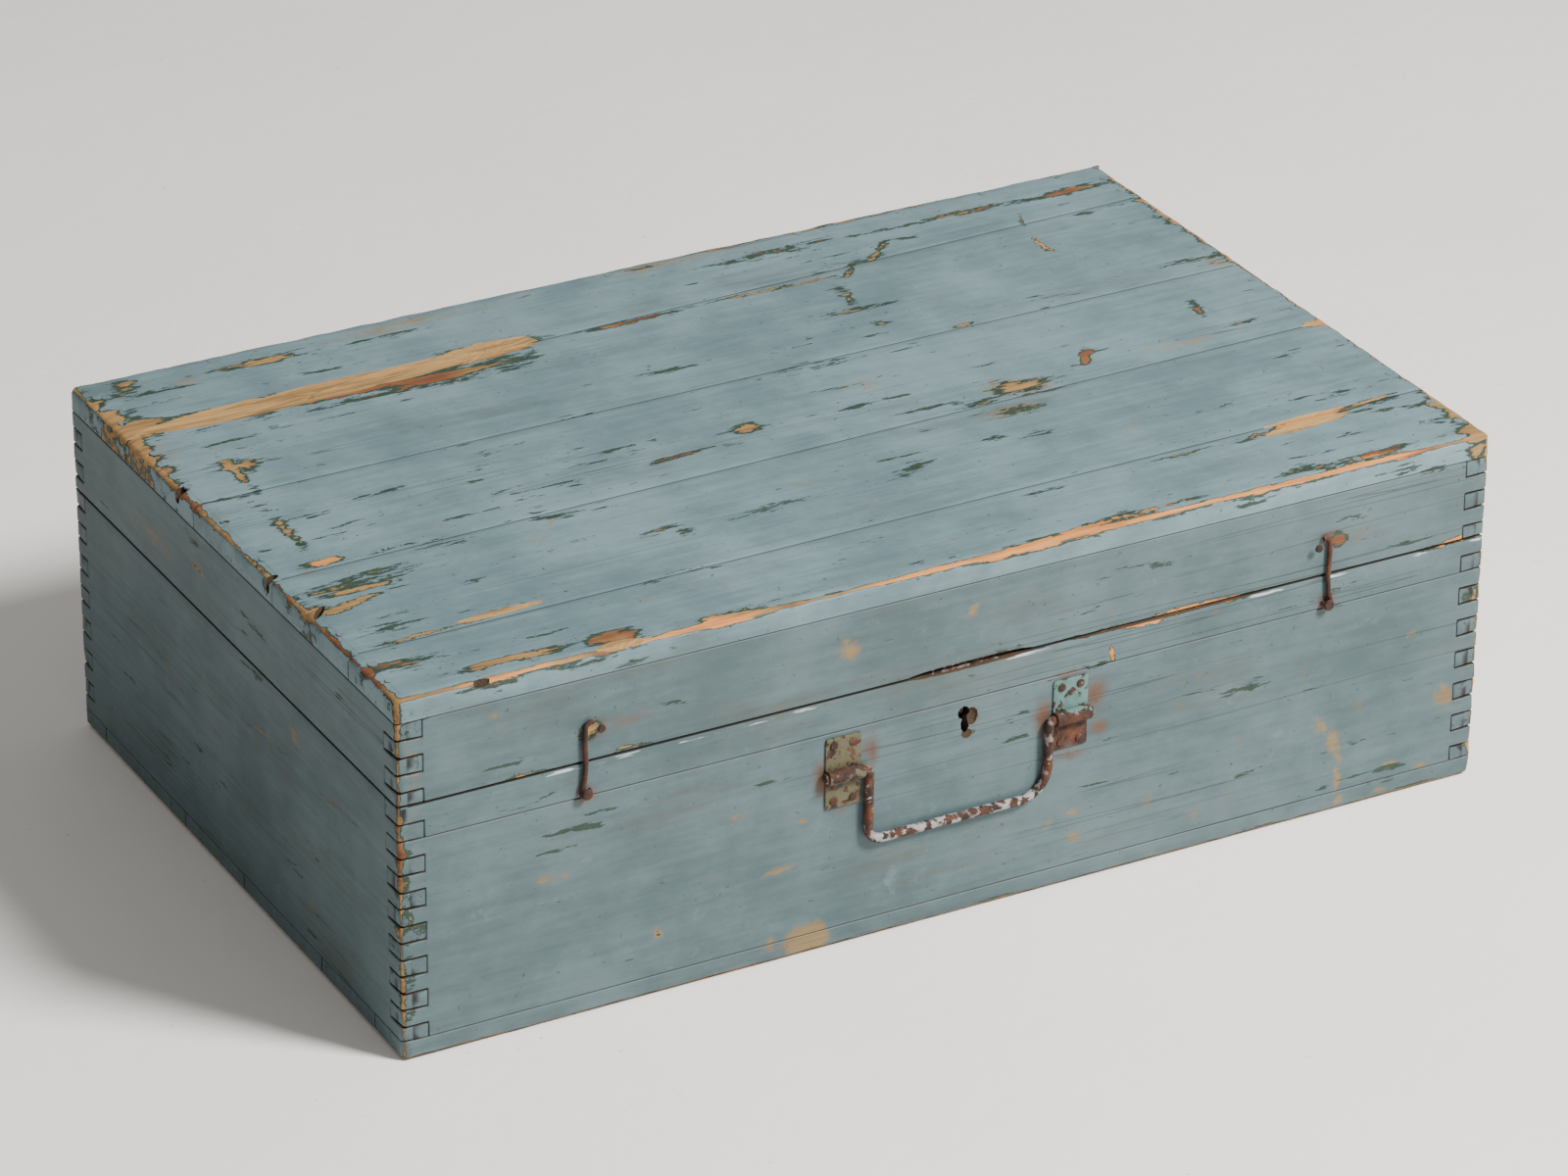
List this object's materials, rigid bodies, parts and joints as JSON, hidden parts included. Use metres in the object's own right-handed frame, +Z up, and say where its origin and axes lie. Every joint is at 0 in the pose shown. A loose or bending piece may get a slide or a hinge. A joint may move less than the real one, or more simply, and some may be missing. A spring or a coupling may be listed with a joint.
{
  "type": "wooden chest",
  "caption": "Finger-jointed board chest with a shallow hinged lid, wire hook latches on the front, a drop handle and a chest lock behind a bare keyhole.",
  "frame": {"origin": "on the floor, under the middle of the carcass", "axes": "+X along the front to the right as seen from the front, +Y towards the back, +Z up"},
  "size_m": [0.8, 0.5212, 0.2567],
  "materials": {
    "painted_wood": "old blue-grey paint over dark green, worn to bare pine along edges and seams",
    "bare_wood": "unpainted aged pine, grimy on the outside",
    "rusty_iron": "rusted iron with remains of paint, rubbed bright where it is handled"
  },
  "bodies": {
    "box": {"box_front_upper": "painted_wood", "box_front_lower": "painted_wood", "box_back": "painted_wood", "box_left": "painted_wood", "box_right": "painted_wood", "bottom_board_1": "bare_wood", "bottom_board_2": "bare_wood", "bottom_board_3": "bare_wood", "bottom_board_4": "bare_wood", "bottom_board_5": "bare_wood", "bottom_board_6": "bare_wood", "bottom_nails": "rusty_iron", "hinge_box_leaf_left": "rusty_iron", "hinge_box_leaf_right": "rusty_iron", "hinge_pin_left": "rusty_iron", "hinge_pin_right": "rusty_iron", "hinge_box_screws": "rusty_iron", "handle_plate_left": "rusty_iron", "handle_plate_right": "rusty_iron", "handle_plate_nails": "rusty_iron", "hook_pivot_screws": "rusty_iron", "lock_plate": "rusty_iron", "lock_case": "rusty_iron", "lock_drill_pin": "rusty_iron", "lock_screws": "rusty_iron"},
    "lid": {"lid_front": "painted_wood", "lid_back": "painted_wood", "lid_left": "painted_wood", "lid_right": "painted_wood", "top_board_1": "painted_wood", "top_board_2": "painted_wood", "top_board_3": "painted_wood", "top_board_4": "painted_wood", "top_board_5": "painted_wood", "top_nails": "rusty_iron", "hinge_lid_leaf_left": "rusty_iron", "hinge_lid_leaf_right": "rusty_iron", "hinge_lid_screws": "rusty_iron", "hook_catch_screws": "rusty_iron", "link_plate": "rusty_iron", "link_plate_screws": "rusty_iron"},
    "handle": {"handle_bail": "rusty_iron"},
    "hook_left_wire": {"hook_left": "rusty_iron"},
    "hook_right_wire": {"hook_right": "rusty_iron"},
    "bolt": {"lock_bolt": "rusty_iron"}
  },
  "joints": [
    {"name": "lid_hinge", "type": "hinge", "parent": "box", "child": "lid", "pos_m": [0, 0.2563, 0.1816], "axis": [-1, 0, 0], "range_deg": [0, 175]},
    {"name": "handle_swing", "type": "hinge", "parent": "box", "child": "handle", "pos_m": [-0.004, -0.2558, 0.1275], "axis": [-1, 0, 0], "range_deg": [0, 175]},
    {"name": "hook_left_swing", "type": "hinge", "parent": "box", "child": "hook_left_wire", "pos_m": [-0.272, -0.2542, 0.161], "axis": [0, -1, 0], "range_deg": [-8, 170]},
    {"name": "hook_right_swing", "type": "hinge", "parent": "box", "child": "hook_right_wire", "pos_m": [0.275, -0.2542, 0.161], "axis": [0, 1, 0], "range_deg": [-8, 170]},
    {"name": "bolt_slide", "type": "slide", "parent": "box", "child": "bolt", "axis": [1, 0, 0], "range_m": [0, 0.008]}
  ]
}
